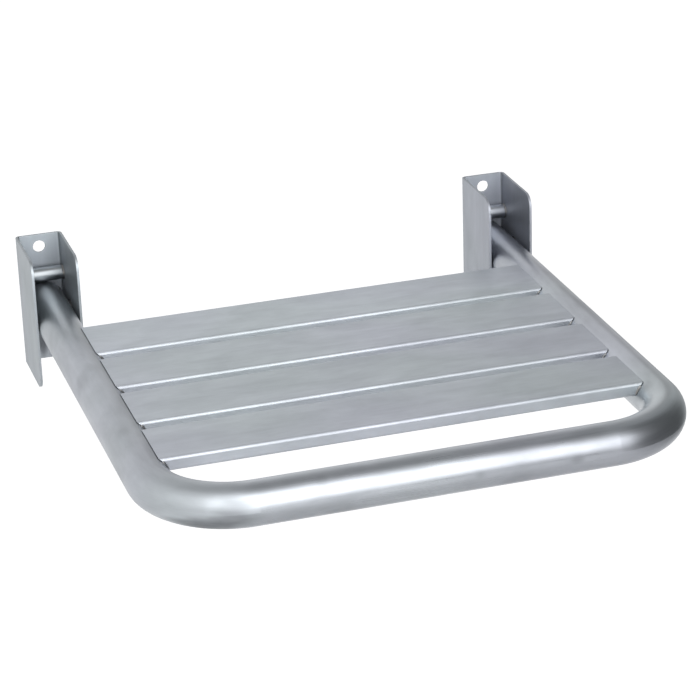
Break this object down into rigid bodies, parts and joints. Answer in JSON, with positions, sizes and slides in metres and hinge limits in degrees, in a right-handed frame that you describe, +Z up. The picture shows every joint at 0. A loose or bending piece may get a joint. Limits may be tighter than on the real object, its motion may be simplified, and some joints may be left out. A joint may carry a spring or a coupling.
{
  "type": "fold-down wall seat",
  "caption": "Fold-down wall seat of steel: a bent tube frame with flat slats, hinged on pins between two folded wall brackets.",
  "frame": {"origin": "centre of the four fixing holes, in the plane of the wall", "axes": "+Y into the wall, so the seat reaches out along -Y; +Z up; +X to the right for someone who faces the wall"},
  "size_m": [0.4396, 0.4658, 0.113],
  "materials": {
    "satin_steel": "satin stainless steel, fine brushed grain along the tubes, slats and sheet",
    "ground_steel": "ground stainless steel round bar, brighter than the sheet",
    "dark_plastic": "dark grey moulded plastic, matt"
  },
  "bodies": {
    "wall_brackets": {"left_bracket": "satin_steel", "right_bracket": "satin_steel", "left_stop_pin": "ground_steel", "right_stop_pin": "ground_steel", "left_pivot_pin": "ground_steel", "right_pivot_pin": "ground_steel"},
    "seat": {"frame_tube": "satin_steel", "rear_slat": "satin_steel", "second_slat": "satin_steel", "third_slat": "satin_steel", "front_slat": "satin_steel", "left_pivot_sleeve": "satin_steel", "right_pivot_sleeve": "satin_steel", "left_outer_bush": "dark_plastic", "left_inner_bush": "dark_plastic", "right_inner_bush": "dark_plastic", "right_outer_bush": "dark_plastic", "left_tube_plug": "dark_plastic", "right_tube_plug": "dark_plastic"}
  },
  "joints": [
    {"name": "seat_fold", "type": "hinge", "parent": "wall_brackets", "child": "seat", "pos_m": [0, -0.032, -0.0082], "axis": [-1, 0, 0], "range_deg": [0, 91.5]}
  ]
}
